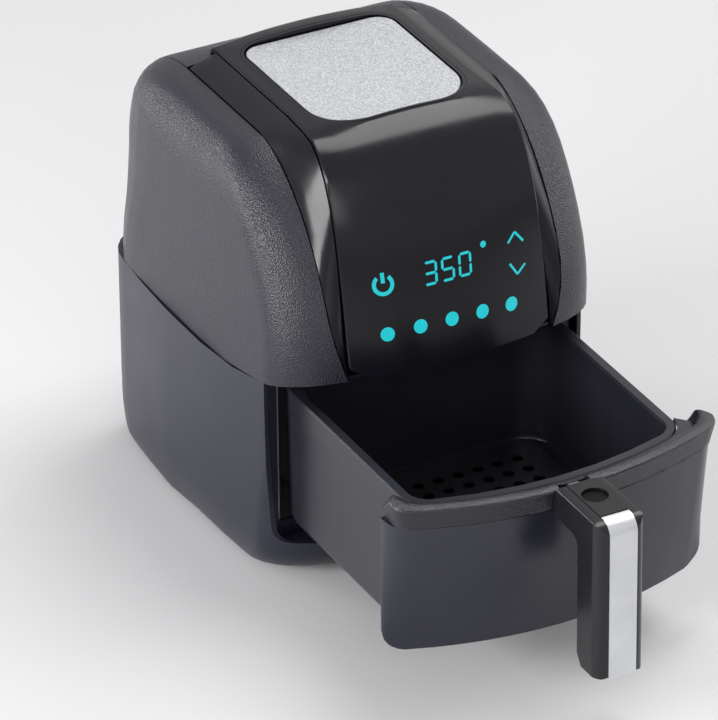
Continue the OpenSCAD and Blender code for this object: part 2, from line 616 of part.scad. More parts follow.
// Motor and fans
motor_z = deck_z + 74;
motor_h = 30;
bracket_z = motor_z - 5;
module motor_bracket() {
    low = deck_z + 2 + fit;
    leg = dome_r + 12;
    color(steel) placed() difference() {
        union() {
            translate([-leg, dome_y - 20, bracket_z]) cube([2 * leg, 40, 2]);
            both_sides() translate([leg - 2, dome_y - 20, low]) cube([2, 40, bracket_z + 1 - low]);
            both_sides() translate([leg - 2, dome_y - 20, low]) cube([16, 40, 2]);
        }
        translate([0, dome_y, bracket_z - 5]) cylinder(r = 14, h = 20, $fn = 48);
        for (a = [45 : 90 : 315]) translate([24 * cos(a) * 0.7, dome_y + 24 * sin(a) * 0.7, bracket_z - 5])
            cylinder(r = 1.7, h = 20, $fn = 24);
    }
}
module fan_motor() {
    color(steel) placed() translate([0, dome_y, 0]) difference() {
        union() {
            translate([0, 0, motor_z]) cylinder(r = 30, h = motor_h, $fn = 96);
            translate([0, 0, bracket_z + 1]) cylinder(r = 12, h = motor_z + motor_h + 4 - bracket_z - 1, $fn = 64);
            for (a = [45 : 90 : 315]) translate([24 * cos(a) * 0.7, 24 * sin(a) * 0.7, bracket_z + 2 + fit])
                cylinder(r = 3.5, h = motor_z - bracket_z - 1, $fn = 32);
            translate([26, -8, motor_z + 4]) cube([10, 16, 18]);
        }
        cylinder(r = shaft_r + shaft_clear, h = 400, $fn = 64);
    }
}
module motor_shaft() {
    color(steel) placed() translate([0, dome_y, 0]) {
        translate([0, 0, fan_low - 3.3]) cylinder(r = shaft_r, h = motor_z + motor_h + 29.3 - fan_low, $fn = 64);
        translate([0, 0, fan_low - 4.8]) cylinder(r = shaft_r + 2.5, h = 4.5, $fn = 6);
    }
}
fan_low = coil_z + 8.3;
function blade_at(t, off) = let (r = mix(24, fan_r - 1, t), a = 32 * t)
    [r * cos(a) - off * sin(a), r * sin(a) + off * cos(a)];
module convection_fan() {
    color(steel) placed() translate([0, dome_y, 0]) difference() {
        union() {
            translate([0, 0, fan_low + 16.2]) cylinder(r = fan_r, h = 1.2, $fn = 96);
            translate([0, 0, fan_low]) cylinder(r = shaft_r + 5, h = 17, $fn = 48);
            for (k = [0 : fan_blades - 1]) rotate([0, 0, k * 360 / fan_blades]) translate([0, 0, fan_low + 2.7])
                linear_extrude(height = 14) polygon(concat([for (t = steps(4)) blade_at(t, 0.6)],
                    [for (t = [1, 0.75, 0.5, 0.25, 0]) blade_at(t, -0.6)]));
        }
        cylinder(r = shaft_r + 0.02, h = 400, $fn = 64);
    }
}
module cooling_fan() {
    mid = motor_z + motor_h + 14;
    color(black) placed() translate([0, dome_y, mid]) difference() {
        union() {
            translate([0, 0, -7]) cylinder(r = shaft_r + 6, h = 14, $fn = 48);
            for (k = [0 : 6]) rotate([0, 0, k * 360 / 7]) rotate([38, 0, 0])
                translate([8, -0.7, -6.5]) cube([cooling_r - 8, 1.4, 13]);
        }
        translate([0, 0, -20]) cylinder(r = shaft_r + 0.02, h = 60, $fn = 64);
    }
}
module air_duct() {
    color(steel) placed() difference() {
        translate([-duct_w / 2, dome_y + dome_r - 8, duct_low])
            cube([duct_w, cheek_back - wall - fit - dome_y - dome_r + 8, duct_h]);
        translate([-duct_w / 2 + 1.2, dome_y, duct_low + 1.2]) cube([duct_w - 2.4, 300, duct_h - 2.4]);
        translate([0, dome_y, 0]) cylinder(r = dome_r + 1.4, h = 2 * dome_top, $fn = 96);
    }
}
module thermal_fuse() {
    color(steel) placed() translate([-dome_r / 2 - 3, dome_y + 40, dome_top + fit]) {
        translate([-5, -7, 0]) cube([10, 14, 1.2]);
        translate([-2, -7, 0]) cube([4, 14, 4]);
        translate([0, -12, 4]) rotate([-90, 0, 0]) cylinder(r = 3, h = 24, $fn = 32);
    }
}
module temperature_sensor() {
    color(brass) placed() translate([dome_r / 2 + 3, dome_y + 40, 0]) {
        translate([0, 0, dome_top - 23]) cylinder(r = 2.5, h = 34, $fn = 32);
        translate([0, 0, dome_top + fit]) cylinder(r = 6, h = 3, $fn = 6);
    }
}

// Electronics
module power_board() {
    y = body_back - wall - fit - 16;
    color(board_green) placed() {
        translate([-70, y, bay_low + 24]) cube([130, 1.6, 80]);
        for (x = [-64, 54], z = [bay_low + 30, bay_low + 98]) translate([x, y + 1, z]) rotate([-90, 0, 0])
            cylinder(r = 3, h = 15, $fn = 24);
        translate([-62, y - 15, 84]) cube([19, 15.5, 15]);
        translate([-36, y - 15, 84]) cube([19, 15.5, 15]);
        translate([-8, y - 12, bay_low + 54]) cube([26, 12.5, 12]);
        translate([34, y - 22, bay_low + 64]) rotate([-90, 0, 0]) cylinder(r = 8, h = 22.5, $fn = 32);
        translate([-60, y - 10, bay_low + 78]) cube([50, 10.5, 10]);
    }
}
board_y = -nose + 39;
board_low = brow_z + 13;
module board_holder() {
    color(charcoal) placed() {
        both_sides() translate([56, board_y - 6, 0]) difference() {
            translate([0, 0, seam_at(board_y - 6) + 2.8]) cube([4, 12, board_low + 62 - seam_at(board_y - 6) - 2.8]);
            translate([-1, 3.2, board_low]) cube([3.2, 2.2, 80]);
        }
        translate([-57, board_y + 2, brow_z - 0.5]) cube([114, 3, 6]);
    }
}
module control_board() {
    color(board_green) placed() {
        translate([-57.6, board_y - 2.6, board_low + 0.3]) cube([115.2, 1.6, 61]);
        translate([-46, board_y - 1.2, board_low + 8]) cube([14, 3, 14]);
        translate([10, board_y - 1.2, board_low + 14]) cube([22, 6, 9]);
        translate([-16, board_y - 1.2, board_low + 40]) rotate([-90, 0, 0]) cylinder(r = 5, h = 9, $fn = 32);
    }
}
module display_module() {
    color(black) placed() {
        translate([-14, board_y - 15, board_low + 26]) cube([68, 12.1, 24]);
        translate([-10, board_y - 15.8, board_low + 29]) cube([60, 1, 18]);
    }
}
module drawer_switch() {
    color(black) placed() {
        translate([74, bay_back + fit, bay_low + 70]) cube([12, 6.5, 20]);
        for (z = [bay_low + 73, bay_low + 80, bay_low + 87]) translate([76.5, bay_back + 6, z - 0.4]) cube([7, 7, 0.8]);
    }
}

// Drawer, drawn pushed in and moved forward by the pull
lip_top = rim_z + 9.5;
front_top_y = -nose + 3;
front_low_y = front_top_y + front_lean;
skirt_z = rim_z - skirt_h;
front_hw = front_half - 0.6;
front_low_z = chin_z + 4;
trim_z = rim_z - 8;

function tub_plan(front, half, back, rf, rb) = full_plan(concat(
    [for (t = steps(3)) [t * (half - rf), front + bow(t * (half - rf))]],
    [for (a = [22.5 : 22.5 : 90]) let (x = half - rf + rf * sin(a)) [x, front + bow(x) + rf * (1 - cos(a))]],
    [for (a = [0 : 22.5 : 90]) [half - rb + rb * cos(a), back - rb + rb * sin(a)]]));
pan_levels = [skirt_z - fit, pan_low + 8, pan_low + 4, pan_low + 1.2, pan_low];
function pan_ring(z, i) =
    let (h = z - (i > 0 && z < skirt_z - 1 ? i : 0), t = (skirt_z - h) / 98,
         tuck = h < pan_low + 8 ? 8 * (1 - sqrt(max(0, 1 - pow((pan_low + 8 - h) / 8, 2)))) : 0)
    at_height(tub_plan(rim_front + 0.5 + 7 * t + tuck + i, rim_hw - 0.5 - t - tuck - i,
        rim_back - 0.5 - 2 * t - tuck - i, 17 - i, 27 - i), z);
module outer_pan() {
    color(pan_grey) drawer_at() {
        cup([for (z = pan_levels) pan_ring(z, 0)],
            [for (z = pan_levels) pan_ring(z > pan_low + 10 ? z : z + sheet, sheet)]);
    }
}
function rim_ring(z, i) = at_height(tub_plan(rim_front + i, rim_hw - i, rim_back - i, 18 - i, 28 - i), z);
function well_ring(z, i) =
    let (t = (rim_z - z) / basket_d, low = rim_z - basket_d + (i < 0 ? -sheet : 0),
         tuck = z < low + 6 ? 6 * (1 - sqrt(max(0, 1 - pow((low + 6 - z) / 6, 2)))) : 0, k = i + tuck)
    at_height(tub_plan(well_front + 9 * t + k, basket_w / 2 - 3 * t - k, well_back - 4 * t - k, 10 - min(i, 1.5), 26 - i), z);
module basket() {
    low = rim_z - basket_d;
    color(pan_grey) drawer_at() difference() {
        cup([rim_ring(skirt_z, sheet), rim_ring(rim_z - 2.2, sheet), rim_ring(rim_z - sheet, sheet + 0.9),
                well_ring(rim_z - sheet, -sheet - 0.9), well_ring(rim_z - 2.2, -sheet),
                well_ring(low + 5, -sheet), well_ring(low + 1, -sheet), well_ring(low - sheet, -sheet)],
            [rim_ring(skirt_z, 0), rim_ring(rim_z - 1.6, 0), rim_ring(rim_z, 1.6),
                well_ring(rim_z, -1.6), well_ring(rim_z - 1.6, 0),
                well_ring(low + 6, 0), well_ring(low + 2, 0), well_ring(low, 0)]);
        translate([23 - basket_w / 2, well_front + 32, 0]) cube([basket_w - 46, basket_l - 56, low + 5]);
    }
}
hole_pitch = 17;
module basket_floor() {
    low = rim_z - basket_d + fit;
    front = max(well_front + 24.5, well_front + 12 + bow(basket_w / 2 - 23));
    back = well_back - 11.5;
    wide = basket_w - 26;
    long = back - front;
    across = floor((wide / 2 - 20) / hole_pitch);
    along = floor((long / 2 - 16) / hole_pitch);
    color(pan_grey) drawer_at() translate([0, (front + back) / 2, low]) difference() {
        linear_extrude(height = 1.6) rrect(wide, long, 20);
        for (i = [-across : across], j = [-along : along])
            translate([i * hole_pitch, j * hole_pitch, -1]) cylinder(r = 4.6, h = 5, $fn = 24);
    }
}

// Drawer's front, as a sheet from one return round the front to the other
function both(half) = concat([for (k = [len(half) - 1 : -1 : 1]) [-half[k][0], half[k][1]]], half);
return_y = -0.9;
front_r = 16;
function front_y(x, y0, i) = min(y0 + bow(x), return_y - 3.2 + i);
function front_line(z, i) =
    let (t = (z - front_low_z) / (trim_z - front_low_z), w = front_hw - i,
         y0 = mix(front_low_y, front_top_y, t) + i, c = w - front_r + i,
         deep = 0.75 * (return_y - front_y(w, y0, i)))
    both(concat([for (u = steps(6)) [u * c, front_y(u * c, y0, i)]],
        [for (a = [15 : 15 : 90]) let (v = sarc(a, 2.2), x = c + (w - c) * v[0])
            [x, front_y(x, y0, i) + deep * (1 - v[1])]],
        [[w, return_y]]));
function front_lift(x) = let (r = 18, over = abs(x) - front_hw + r)
    over > 0 ? r - sqrt(max(0, r * r - over * over)) : 0;
front_steps = [0, 0.25, 0.55, 0.8, 1];
function front_grid(i) = [for (f = front_steps) [for (p = front_line(mix(front_low_z, trim_z, f), i))
    [p[0], p[1], mix(front_low_z + (f < 1 ? front_lift(p[0]) : 0), trim_z - fit, f)]]];
module drawer_front() {
    color(black) drawer_at() difference() {
        sheet_between(front_grid(0), front_grid(2.5));
        translate([-13, -nose - 20, trim_z - 2.2]) cube([26, 60, 10]);
    }
}
// Blocks that hold the front on the pan
function front_back(x, z) = mix(front_low_y, front_top_y, (z - front_low_z) / (trim_z - front_low_z)) + 2.5 + bow(x);
function pan_face(x, z) = rim_front + 0.5 + 7 * (skirt_z - z) / 98 + bow(x);
module front_mounts() {
    color(charcoal) drawer_at() for (x = [-76, 64], z = [front_low_z + 26, trim_z - 30]) {
        w = 12;
        h = 10;
        polyhedron(
            points = concat(
                [for (v = [[0, 0], [w, 0], [w, h], [0, h]]) [x + v[0], front_back(x + v[0], z + v[1]) + fit, z + v[1]]],
                [for (v = [[0, 0], [w, 0], [w, h], [0, h]]) [x + v[0], pan_face(x + v[0], z + v[1]) - fit, z + v[1]]]),
            faces = [[0, 2, 1], [0, 3, 2], [4, 5, 6], [4, 6, 7], [0, 1, 5], [0, 5, 4], [1, 2, 6], [1, 6, 5],
                [2, 3, 7], [2, 7, 6], [3, 0, 4], [3, 4, 7]]);
    }
}

// Trim: band, raised lip and deck, from the outer line to the basket's rim
trim_hw = front_half - 3;
trim_turn_y = front_top_y + bow(trim_hw) + 9;
function trim_outer() = both(concat(
    [for (u = [0, 0.25, 0.5, 0.7, 0.87, 1]) let (x = u * (trim_hw - 11)) [x, front_top_y + bow(x)]],
    [for (a = [30, 60, 90]) [trim_hw - 9 + 9 * sin(a), front_top_y + bow(trim_hw - 9 + 9 * sin(a)) + 9 * (1 - cos(a))]],
    [for (u = [0.33, 0.67, 1]) [trim_hw, mix(trim_turn_y, return_y, u)]]));
function trim_inner() = both(concat(
    [for (u = [0, 0.29, 0.57, 0.77, 0.93, 1]) let (x = u * (rim_hw - 17.5)) [x, rim_front - 0.7 + bow(x)]],
    [for (a = [30, 60, 90]) let (r = 18, x = rim_hw + 0.7 - r + r * sin(a)) [x, rim_front - 0.7 + bow(x) + r * (1 - cos(a))]],
    [for (y = [8, 8.4, 8.8]) [rim_hw + 0.7, y]]));
function trim_rise(y) = lookup(y, [[trim_turn_y - 17, 0], [trim_turn_y - 7, 1.2], [trim_turn_y + 1, 2.6],
    [max(return_y - 8.4, trim_turn_y + 2), 0], [return_y + 3.6, -12]]);
function trim_grid(path) = let (a = trim_outer(), b = trim_inner())
    [for (q = path) [for (k = [0 : len(a) - 1])
        [mix(a[k][0], b[k][0], q[0]), mix(a[k][1], b[k][1], q[0]), q[1] + q[2] * trim_rise(a[k][1])]]];
trim_skin = [[0, trim_z, 0], [-0.17, lip_top - 2, 1], [-0.13, lip_top - 0.6, 1], [0.02, lip_top + 0.4, 1], [0.22, lip_top + 0.8, 1],
    [0.33, lip_top, 1], [0.47, rim_z, 0.3], [1, rim_z - 0.4, 0.3]];
trim_back = [[0.14, trim_z, 0], [-0.04, lip_top - 3.4, 1], [-0.01, lip_top - 2.6, 1], [0.08, lip_top - 1.9, 1],
    [0.2, lip_top - 1.6, 1], [0.24, lip_top - 2.2, 1], [0.4, rim_z - 2.4, 0.3], [1, rim_z - 2.8, 0.3]];
module front_trim() {
    color(black) drawer_at() difference() {
        sheet_between(trim_grid(trim_skin), trim_grid(trim_back));
        translate([-15, -nose - 8, rim_z + 1.5]) cube([26, 19, 30]);
        translate([-13, -nose - 20, trim_z - 8]) cube([26, 60, 12.6]);
    }
}

// Handle
arm_low = rim_z - 11;
arm_top = rim_z + 12.3;
grip_low_z = rim_z - grip_l;
arm_hw = grip_w / 2 + 0.4;
arm_back = front_top_y - 4.8;
grip_back = grip_front + grip_d;
strip_hw = strip_w / 2;
button_y = -nose - 23;
pocket_z = rim_z - 6;
function face_arc(o) = [for (a = [90 : 15 : 180]) [grip_front + 11 + (11.3 - o) * cos(a), arm_top - 11 + (11.3 - o) * sin(a)]];
module side_prism(w) { rotate([90, 0, 90]) linear_extrude(height = w, center = true) children(); }
module handle_body() {
    band = -nose - 51;
    color(black) drawer_at() difference() {
        intersection() {
            side_prism(2 * arm_hw) polygon(concat(
                [[arm_back, arm_top]], face_arc(0.3),
                [for (a = [180 : 22.5 : 270]) [grip_front + 3 + 3 * cos(a), grip_low_z + 3 + 3 * sin(a)]],
                [[grip_back - 6, grip_low_z], [grip_back, grip_low_z + 9]],
                [for (a = [0 : 15 : 90]) [grip_back + 10 - 10 * cos(a), arm_low - 10 + 10 * sin(a)]],
                [[arm_back + 4.4, arm_low]]));
            translate([0, grip_front + 60, 0]) linear_extrude(height = 300) rrect(2 * arm_hw, 120, 11);
            rotate([90, 0, 0]) linear_extrude(height = 400, center = true) polygon([[-arm_hw, 0], [arm_hw, 0],
                [arm_hw, arm_top - 2.6], [arm_hw - 1, arm_top - 0.9], [arm_hw - 2.8, arm_top],
                [-arm_hw + 2.8, arm_top], [-arm_hw + 1, arm_top - 0.9], [-arm_hw, arm_top - 2.6]]);
        }
        // seats of the cover, of the metal strip, of the button and of the bracket
        translate([-strip_hw - 0.3, band, arm_top - 2.2]) cube([2 * strip_hw + 0.6, 60, 10]);
        side_prism(2 * strip_hw + 0.6) polygon(concat([[band + 0.1, arm_top - 1.5]], face_arc(1.8),
            [[grip_front + 1.5, grip_low_z - 5], [grip_front - 9, grip_low_z - 5], [grip_front - 9, arm_top + 9], [band + 0.1, arm_top + 9]]));
        translate([-11.2, button_y - 14, pocket_z]) cube([22.4, 34.5, 30]);
        translate([-6, button_y, pocket_z + 2]) cube([12, 40, 30]);
        translate([-12.3, -nose - 46, rim_z - 9.8]) cube([24.6, 70, 2.6]);
        translate([0, pin_y, pin_z]) rotate([0, 90, 0]) cylinder(r = 1.25, h = 30, center = true, $fn = 32);
        for (x = [-7, 7]) translate([x, -nose - 39, arm_low - 5]) {
            cylinder(r = 1.3, h = 20, $fn = 24);
            cylinder(r = 3.1, h = 6.2, $fn = 32);
        }
    }
}
module handle_strip() {
    band = -nose - 51;
    color(silver) drawer_at() side_prism(2 * strip_hw) polygon(concat(
        [[band - 1, arm_top + strip_proud]], face_arc(0.3 - strip_proud), [[grip_front - strip_proud, grip_low_z + 0.5], [grip_front + 1.1, grip_low_z + 0.5]],
        [for (a = [180 : -15 : 90]) [grip_front + 11 + 9.8 * cos(a), arm_top - 11 + 9.8 * sin(a)]],
        [[band - 1, arm_top - 1.2]]));
}
module handle_cover() {
    band = -nose - 51;
    color(black) drawer_at() difference() {
        translate([-strip_hw, band + 0.3, arm_top - 1.9]) cube([2 * strip_hw, 49, 2.5]);
        translate([0, button_y, rim_z]) cylinder(r = button_r + 0.35, h = 60, $fn = 64);
    }
}
module handle_bracket() {
    color(steel) drawer_at() difference() {
        union() {
            translate([-12, -nose - 45, rim_z - 9.5]) cube([24, rim_front + nose + 45 - fit, 2]);
            translate([-12, rim_front - 1.8, skirt_z + 1]) cube([24, 1.5, 13]);
        }
        for (x = [-7, 7]) translate([x, -nose - 39, arm_low - 5]) cylinder(r = 1.7, h = 20, $fn = 24);
    }
}
module handle_screws() {
    color(steel) drawer_at() for (x = [-7, 7]) translate([x, -nose - 39, arm_low - 0.1]) screw(2.8, 1.3, 1.25, 10);
}
flange_z = arm_top - 4.6;
module release_button() {
    color(black) drawer_at() translate([0, button_y, 0]) difference() {
        union() {
            translate([0, 0, flange_z]) cylinder(r = button_r, h = arm_top - 1.6 - flange_z, $fn = 64);
            translate([0, 0, flange_z]) cylinder(r = button_r + 1, h = 2.3, $fn = 64);
        }
        translate([0, 0, flange_z - 1]) cylinder(r = 7.2, h = 2.6, $fn = 48);
    }
}
// Wire wound into a compression spring, with a six-sided section
module coil_spring(r, wire, low, high, turns) {
    sides = 6;
    count = turns * 14;
    polyhedron(
        points = [for (k = [0 : count], j = [0 : sides - 1])
            let (a = 360 * turns * k / count, b = 360 * j / sides, m = r + wire * cos(b))
            [m * cos(a), m * sin(a), mix(low, high, k / count) + wire * sin(b)]],
        faces = concat(
            [for (k = [0 : count - 1], j = [0 : sides - 1])
                let (a = k * sides + j, b = k * sides + (j + 1) % sides)
                each [[a, b, a + sides], [b, b + sides, a + sides]]],
            [[for (j = [sides - 1 : -1 : 0]) j]],
            [[for (j = [0 : sides - 1]) count * sides + j]]
        ),
        convexity = 8
    );
}
module button_spring() {
    color(steel) drawer_at() translate([0, button_y, 0])
        coil_spring(5.2, 0.6, pocket_z + 0.8, flange_z + 0.8, 4);
}
pin_y = -nose - 3.5 - 1;
pin_z = rim_z + 0.5;
module latch_lever() {
    color(steel) drawer_at() difference() {
        union() {
            translate([0, pin_y, pin_z]) rotate([0, 90, 0]) cylinder(r = 3, h = 8, center = true, $fn = 32);
            side_prism(8) polygon([[pin_y - 8, flange_z - 1], [pin_y - 10, flange_z - 0.3],
                [pin_y - 11, flange_z - 0.3], [pin_y - 11, flange_z - 2.3], [pin_y - 3, pin_z - 1], [pin_y, pin_z + 1], [pin_y + 3, pin_z + 1], [pin_y + 3, pin_z + 3.9], [pin_y + 13, pin_z + 3.9],
                [pin_y + 13, pin_z + 5.9], [pin_y + 1, pin_z + 5.9], [pin_y - 2, pin_z + 2.6]]);
        }
        translate([0, pin_y, pin_z]) rotate([0, 90, 0]) cylinder(r = 1.26, h = 30, center = true, $fn = 32);
    }
}
module latch_pin() {
    color(steel) drawer_at() translate([0, pin_y, pin_z]) rotate([0, 90, 0])
        cylinder(r = 1.2, h = 26, center = true, $fn = 32);
}

base_shell();
bottom_cover();
rubber_feet();
base_screws();
opening_frame();
bay_liner();
drawer_rails();
left_cheek();
right_cheek();
centre_cover();
left_flank_strip();
right_flank_strip();
plate_dish();
top_plate();
rear_cover();
exhaust_grille();
rear_screws();
cord_gland();
brow_panel();
upper_floor();
heat_dome();
heating_coil();
coil_clips();
coil_guard();
motor_bracket();
fan_motor();
motor_shaft();
convection_fan();
cooling_fan();
air_duct();
thermal_fuse();
temperature_sensor();
power_board();
board_holder();
control_board();
display_module();
drawer_switch();
outer_pan();
basket();
basket_floor();
front_mounts();
drawer_front();
front_trim();
handle_bracket();
handle_body();
handle_strip();
handle_cover();
handle_screws();
release_button();
button_spring();
latch_lever();
latch_pin();
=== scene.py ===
import math
import bmesh
import bpy
from mathutils import Matrix, Vector
from mathutils.bvhtree import BVHTree


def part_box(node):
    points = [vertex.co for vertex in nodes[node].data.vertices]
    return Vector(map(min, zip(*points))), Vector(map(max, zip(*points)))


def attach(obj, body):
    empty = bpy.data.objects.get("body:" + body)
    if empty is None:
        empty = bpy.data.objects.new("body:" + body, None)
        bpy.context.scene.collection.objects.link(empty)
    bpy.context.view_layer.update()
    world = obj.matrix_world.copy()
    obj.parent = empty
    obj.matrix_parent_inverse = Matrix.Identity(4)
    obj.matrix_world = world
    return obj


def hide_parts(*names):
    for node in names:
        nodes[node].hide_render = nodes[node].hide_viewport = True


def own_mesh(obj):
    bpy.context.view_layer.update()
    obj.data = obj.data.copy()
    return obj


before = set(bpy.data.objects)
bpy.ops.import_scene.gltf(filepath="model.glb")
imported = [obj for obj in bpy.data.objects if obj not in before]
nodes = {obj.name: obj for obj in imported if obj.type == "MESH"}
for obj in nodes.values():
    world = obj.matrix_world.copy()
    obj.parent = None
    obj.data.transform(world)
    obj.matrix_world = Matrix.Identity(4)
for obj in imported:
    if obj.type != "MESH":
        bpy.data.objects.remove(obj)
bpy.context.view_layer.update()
print("frame loaded,", len(nodes), "nodes")

def addObject(name, data):
    thing = bpy.data.objects.new(name, data)
    bpy.context.scene.collection.objects.link(thing)
    return thing

def meshOf(name, shape, material):
    # takes a bmesh over into a mesh with one material
    mesh = bpy.data.meshes.new(name)
    shape.to_mesh(mesh)
    shape.free()
    mesh.materials.append(material)
    return mesh

# turn, rise and roll in degrees, lens and film in millimetres, the rest in metres
camera = {"turn": -27.6021, "rise": 29.9075, "roll": -0.5473, "lens": 350.0, "film": 36,
          "place": (-2.1344, -3.9740, 2.7571), "farthest": 50}

def addCamera():
    turn, rise, roll = (math.radians(camera[key]) for key in ("turn", "rise", "roll"))
    back = Vector((math.sin(turn) * math.cos(rise), -math.cos(turn) * math.cos(rise), math.sin(rise)))
    right = Vector((math.cos(turn), math.sin(turn), 0))
    up = back.cross(right)
    across = math.cos(roll) * right + math.sin(roll) * up
    upright = -math.sin(roll) * right + math.cos(roll) * up
    data = bpy.data.cameras.new("camera")
    data.lens = camera["lens"]
    data.sensor_width = camera["film"]
    data.sensor_fit = "HORIZONTAL"
    data.clip_end = camera["farthest"]
    view = addObject("camera", data)
    facing = Matrix((across, upright, back)).transposed().to_4x4()
    view.matrix_world = Matrix.Translation(camera["place"]) @ facing
    bpy.context.scene.camera = view

addCamera()
print("camera set")

def plug(tree, slot, value):
    if isinstance(value, Wire):
        tree.links.new(value.socket, slot)
    else:
        slot.default_value = value

class Wire:
    # one output socket of a node tree, so that sums can be written plainly
    def __init__(self, tree, socket):
        self.tree = tree
        self.socket = socket

    def sum(self, operation, first, second):
        return Graph(self.tree).add("ShaderNodeMath", {"operation": operation}, {0: first, 1: second})

    def __add__(self, other): return self.sum("ADD", self, other)
    def __radd__(self, other): return self.sum("ADD", other, self)
    def __mul__(self, other): return self.sum("MULTIPLY", self, other)
    def __rmul__(self, other): return self.sum("MULTIPLY", other, self)

class Graph:
    # a node tree whose nodes are all added with one method
    def __init__(self, tree):
        self.tree = tree

    def add(self, kind, settings=None, inputs=None, out=0):
        node = self.tree.nodes.new(kind)
        for key, value in (settings or {}).items():
            setattr(node, key, value)
        for key, value in (inputs or {}).items():
            plug(self.tree, node.inputs[key], value)
        return Wire(self.tree, node.outputs[out]) if len(node.outputs) else None

class Finish(Graph):
    # a material, with the few patterns that this object's finishes are made of
    def __init__(self, name):
        self.material = bpy.data.materials.new(name)
        self.material.use_nodes = True
        super().__init__(self.material.node_tree)
        self.tree.nodes.clear()

    def place(self):
        return self.add("ShaderNodeTexCoord", out="Object")

    def noise(self, size, detail):
        # a noise whose grains measure about size metres
        return self.add("ShaderNodeTexNoise", {}, {"Vector": self.place(), "Scale": 1 / size,
                                                   "Detail": detail, "Roughness": 0.5}, "Fac")

    def cells(self, size, out):
        # closed cells about size metres across
        return self.add("ShaderNodeTexVoronoi", {"feature": "F1"},
                        {"Vector": self.place(), "Scale": 1 / size}, out)

    def spread(self, value, span, to=(0.0, 1.0)):
        return self.add("ShaderNodeMapRange", {"clamp": True},
                        {"Value": value, "From Min": span[0], "From Max": span[1],
                         "To Min": to[0], "To Max": to[1]}, "Result")

    def drift(self, noise, to=(0.0, 1.0)):
        # a noise keeps near its middle, so that is the part that is spread
        return self.spread(noise, (0.3, 0.7), to)

    def tint(self, factor, first, second):
        # the Mix node's colours are its sockets 6 and 7, and its third output
        return self.add("ShaderNodeMix", {"data_type": "RGBA"},
                        {"Factor": factor, 6: (*first, 1), 7: (*second, 1)}, 2)

    def bump(self, height, depth):
        return self.add("ShaderNodeBump", {},
                        {"Height": height, "Strength": 1.0, "Distance": depth}, "Normal")

    def surface(self, **sockets):
        # sockets are named as on the shader, with _ for a space
        inputs = {key.replace("_", " "): (*value, 1) if isinstance(value, tuple) else value
                  for key, value in sockets.items()}
        shader = self.add("ShaderNodeBsdfPrincipled", {}, inputs)
        self.add("ShaderNodeOutputMaterial", {}, {0: shader})
        return self.material

def scaled(color, share):
    return tuple(part * share for part in color)

def around(middle, less, more):
    return (middle - less, middle + more)

# grain and depth in metres, and pebbles is their share of the grain
plastics = {
    "charcoal grain": {"color": (0.010, 0.010, 0.018), "rough": 0.33, "grain": 0.0009, "depth": 0.00048,
                       "pebbles": 0.75, "shine": 0.5, "on": ["left_cheek", "right_cheek"]},
    "charcoal smooth": {"color": (0.011, 0.011, 0.021), "rough": 0.33, "grain": 0.0009, "depth": 0.00016,
                        "pebbles": 0.3, "shine": 0.38,
                        "on": ["base_shell", "bottom_cover", "opening_frame", "rear_cover", "brow_panel",
                               "board_holder", "front_mounts"]},
    "drawer front plastic": {"color": (0.014, 0.014, 0.025), "rough": 0.22, "grain": 0.0010, "depth": 0.00005,
                             "pebbles": 0.0, "shine": 0.5, "on": ["drawer_front"]},
    "drawer lip plastic": {"color": (0.009, 0.009, 0.014), "rough": 0.26, "grain": 0.0009, "depth": 0.00040,
                           "pebbles": 0.75, "shine": 0.5, "on": ["front_trim"]},
    "polished black": {"color": (0.003, 0.003, 0.006), "rough": 0.19, "grain": 0.004, "depth": 0.000004,
                       "pebbles": 0.0, "shine": 0.36,
                       "on": ["centre_cover", "left_flank_strip", "right_flank_strip", "plate_dish"]},
    "satin black": {"color": (0.007, 0.007, 0.009), "rough": 0.28, "grain": 0.0007, "depth": 0.00005,
                    "pebbles": 0.0, "shine": 0.4,
                    "on": ["handle_body", "handle_cover", "exhaust_grille", "drawer_switch",
                           "display_module", "cooling_fan"]},
    "button black": {"color": (0.0015, 0.0015, 0.002), "rough": 0.45, "grain": 0.0007, "depth": 0.00003,
                     "pebbles": 0.0, "shine": 0.12, "on": ["release_button"]},
    "foot rubber": {"color": (0.02, 0.02, 0.02), "rough": 0.7, "grain": 0.0006, "depth": 0.00008,
                    "pebbles": 0.0, "shine": 0.5, "on": ["rubber_feet", "cord_gland"]},
    "pan coating": {"color": (0.015, 0.015, 0.021), "rough": 0.31, "grain": 0.0006, "depth": 0.00006,
                    "pebbles": 0.0, "shine": 0.45, "on": ["outer_pan", "basket", "basket_floor"]},
    "circuit board": {"color": (0.012, 0.10, 0.055), "rough": 0.4, "grain": 0.0006, "depth": 0.00003,
                      "pebbles": 0.0, "shine": 0.5, "on": ["power_board", "control_board"]},
}
# how a moulding varies: pebbles in grains, patches in metres, and their tone and gloss
moulding = {"pebble": 1.3, "patch": 0.045, "lighter": 1.16, "duller": 0.03}

def grainedPlastic(name, look):
    # moulded plastic: fine grain or pebbles, with a slow drift of tone and gloss
    skin = Finish(name)
    fine = skin.noise(look["grain"], detail=2.0)
    pebbles = skin.cells(look["grain"] * moulding["pebble"], "Distance")
    height = fine * (1 - look["pebbles"]) + pebbles * look["pebbles"]
    patches = skin.noise(moulding["patch"], detail=3.0)
    base = skin.tint(skin.drift(patches), look["color"], scaled(look["color"], moulding["lighter"]))
    roughness = skin.drift(patches, around(look["rough"], moulding["duller"], moulding["duller"]))
    return skin.surface(Base_Color=base, Roughness=roughness, Normal=skin.bump(height, look["depth"]),
                        Specular_IOR_Level=look["shine"])

